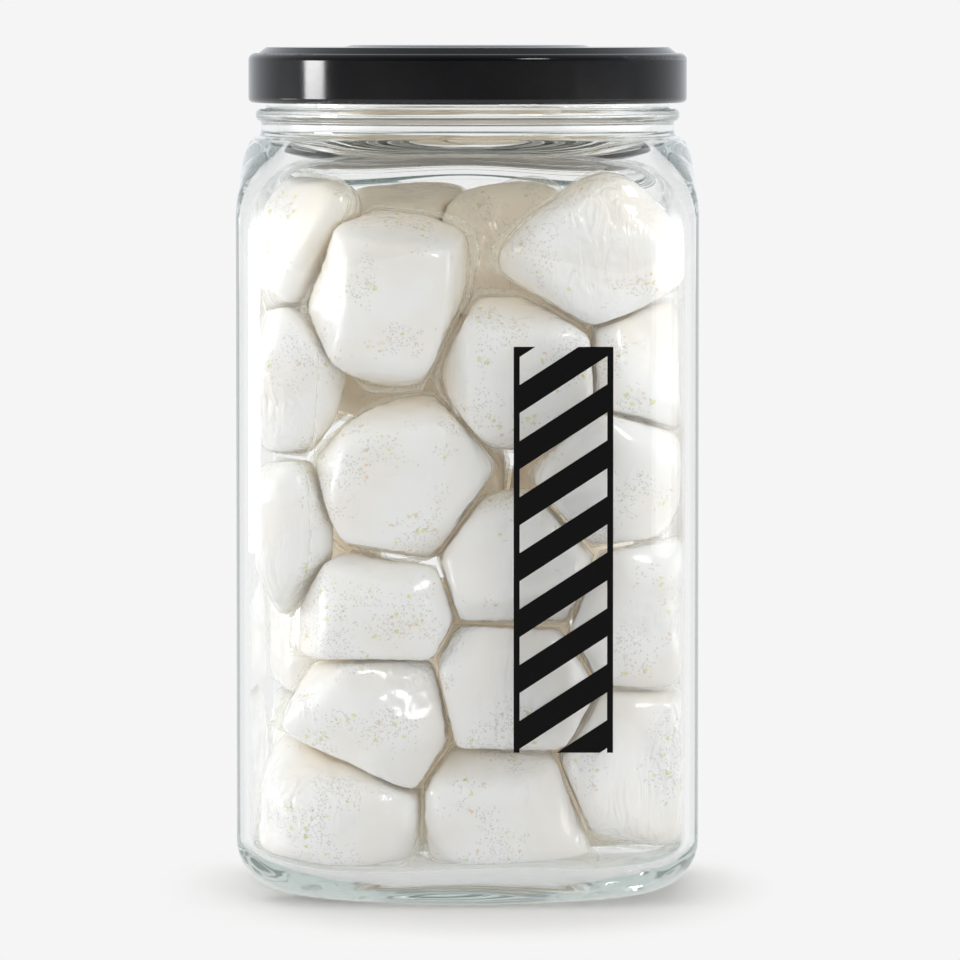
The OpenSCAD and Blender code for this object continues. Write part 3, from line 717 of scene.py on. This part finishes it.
def makeStage():
    half, low = stageSize["half"], -stageSize["below"]
    corners = np.array([[-half, -half, low], [half, -half, low], [half, half, low], [-half, half, low]])
    floor = meshPiece("floor", corners, [(0, 1, 2, 3)], stageMaterial())
    floor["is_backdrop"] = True


# brightness of the room: front and side as light, inside the jar, as windows in the film's gloss, and by
# (place from front to back, value) in mirrors and through the glass
roomLight = {"front": 0.88, "side": 1.62, "inside": 0.98, "window": 2.2,
             "mirror": [(0.05, 0.04), (0.35, 0.2), (0.7, 0.5), (0.95, 0.913)],
             "through": [(0.05, 0.72), (0.35, 0.85), (0.7, 0.92), (0.95, 0.93)]}


def makeWorld():
    # The room: two wide pale sides, a dimmer front and back, and for gloss a nearly dark front.
    world = bpy.data.worlds.new("studio")
    scene.world = world
    world.use_nodes = True
    tree = world.node_tree
    tree.nodes.clear()
    output = tree.nodes.new("ShaderNodeOutputWorld")
    path = addNode(tree, "ShaderNodeLightPath")
    ground = addNode(tree, "ShaderNodeBackground", Color=toLinear("#F5F5F5"), Strength=1.0)
    direction = addNode(tree, "ShaderNodeTexCoord")
    split = addNode(tree, "ShaderNodeSeparateXYZ", {"Vector": direction.outputs["Generated"]})
    side = addNode(tree, "ShaderNodeMath", {0: split.outputs["X"]}, operation="ABSOLUTE")
    soft = addNode(tree, "ShaderNodeMapRange", {"Value": side.outputs[0]}, From_Min=0.2, From_Max=1.0,
                   To_Min=roomLight["front"], To_Max=roomLight["side"])
    light = addNode(tree, "ShaderNodeBackground", {"Strength": soft.outputs["Result"]},
                    Color=(1.0, 0.99, 0.98, 1.0))
    around = addNode(tree, "ShaderNodeMapRange", {"Value": split.outputs["Y"]}, From_Min=-1.0, From_Max=1.0)
    cool = [(y, [v * 0.96, v, v * 1.05, 1.0]) for y, v in roomLight["mirror"]]
    grey = [(y, [v, v, v, 1.0]) for y, v in roomLight["through"]]
    turn = {"Fac": around.outputs["Result"]}
    mirrorImage = addNode(tree, "ShaderNodeValToRGB", turn, cool).outputs["Color"]
    throughGlass = addNode(tree, "ShaderNodeValToRGB", turn, grey).outputs["Color"]
    gloss = addNode(tree, "ShaderNodeBackground", {"Color": mirrorImage}, Strength=1.0)
    # light that leaves a dose and bends out through the glass meets the lit room, and the film's gloss
    # meets its two bright sides
    level = addNode(tree, "ShaderNodeMath", {0: soft.outputs["Result"]}, operation="MULTIPLY",
                    i1=roomLight["inside"])
    inside = addNode(tree, "ShaderNodeBackground", {"Strength": level.outputs[0]},
                     Color=(1.0, 0.99, 0.98, 1.0))
    scattered = addNode(tree, "ShaderNodeMath", {0: path.outputs["Diffuse Depth"]},
                        operation="GREATER_THAN", i1=0.5)
    glinted = addNode(tree, "ShaderNodeMath", {0: path.outputs["Glossy Depth"]},
                      operation="GREATER_THAN", i1=0.5)
    window = addNode(tree, "ShaderNodeMapRange", {"Value": side.outputs[0]}, From_Min=0.8, From_Max=0.93,
                     To_Min=0.0, To_Max=roomLight["window"])
    glint = addNode(tree, "ShaderNodeMath", {0: window.outputs["Result"], 1: glinted.outputs[0]},
                    operation="MULTIPLY")
    glintLight = addNode(tree, "ShaderNodeBackground", {"Strength": glint.outputs[0]},
                         Color=(1.0, 1.0, 1.0, 1.0))
    clearView = addNode(tree, "ShaderNodeBackground", {"Color": throughGlass}, Strength=1.0)
    clearView = addNode(tree, "ShaderNodeAddShader", {0: clearView.outputs[0], 1: glintLight.outputs[0]})
    bent = addNode(tree, "ShaderNodeMixShader", {0: scattered.outputs[0], 1: clearView.outputs[0],
                                                 2: inside.outputs[0]})
    seen = addNode(tree, "ShaderNodeMixShader", {0: path.outputs["Is Glossy Ray"], 1: light.outputs[0],
                                                 2: gloss.outputs[0]})
    seen = addNode(tree, "ShaderNodeMixShader", {0: path.outputs["Is Transmission Ray"],
                                                 1: seen.outputs[0], 2: bent.outputs[0]})
    final = addNode(tree, "ShaderNodeMixShader", {0: path.outputs["Is Camera Ray"], 1: seen.outputs[0],
                                                  2: ground.outputs[0]})
    tree.links.new(final.outputs[0], output.inputs["Surface"])


# lamps by name: azimuth from the front to the right in degrees, distance, low and high edge and width in m,
# radiance
lamps = {"left strip": (-86, 1.2, 0.165, 0.30, 0.28, 20.0), "left box": (-106, 1.2, 0.0, 0.145, 0.30, 4.0),
         "right box": (75, 1.2, 0.0, 0.145, 0.75, 1.6), "front lamp": (38, 1.2, 0.85, 1.15, 0.32, 10.0),
         "top lamp": (-165, 0.3, 1.35, 1.65, 0.35, 12.0)}
highlightsOnly, noHighlights = ["left strip", "front lamp"], ["top lamp"]
aimHeight = 0.2     # lamps that stand higher are turned down to this height on the jar


def softBox(name, place, aim, width, height, power):
    lamp = bpy.data.lights.new(name, "AREA")
    lamp.shape = "RECTANGLE"
    lamp.size, lamp.size_y, lamp.energy = width, height, power
    box = bpy.data.objects.new(name, lamp)
    scene.collection.objects.link(box)
    box.location = place
    box.visible_diffuse = name not in highlightsOnly
    box.visible_glossy = name not in noHighlights
    box.rotation_euler = (Vector(aim) - Vector(place)).to_track_quat("-Z", "Y").to_euler()
    return box


# focal length in pixels of a frame 960 wide, sensor in mm, place in m, degrees down
cameraSize = {"focal": 7575.4, "frame": 960, "sensor": 36, "place": (0.00293, -1.8, 0.2058), "tip": 3.477}


def makeCamera():
    # Found from the jar's edges in the photograph: 1.8 m away, just above the lid, tipped 3.5 degrees down.
    camera = bpy.data.objects.new("camera", bpy.data.cameras.new("camera"))
    scene.collection.objects.link(camera)
    camera.data.lens = cameraSize["focal"] * cameraSize["sensor"] / cameraSize["frame"]
    camera.data.sensor_width = cameraSize["sensor"]
    camera.data.clip_start, camera.data.clip_end = 0.1, 50
    camera.location = cameraSize["place"]
    camera.rotation_euler = (math.radians(90 - cameraSize["tip"]), 0, 0)
    scene.camera = camera


makeStage()
makeWorld()
for name, (azimuth, distance, low, high, width, radiance) in lamps.items():
    a = math.radians(azimuth)
    place = (distance * math.sin(a), -distance * math.cos(a), (low + high) / 2)
    aim = (0, 0, min((low + high) / 2, aimHeight))
    softBox(name, place, aim, width, high - low, radiance * math.pi * width * (high - low))
makeCamera()
scene.view_settings.view_transform = "Standard"
scene.cycles.max_bounces, scene.cycles.diffuse_bounces = bounces["all"], bounces["diffuse"]
scene.cycles.glossy_bounces, scene.cycles.transmission_bounces = bounces["glossy"], bounces["through"]
print("stage, light and camera made")

low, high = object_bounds()
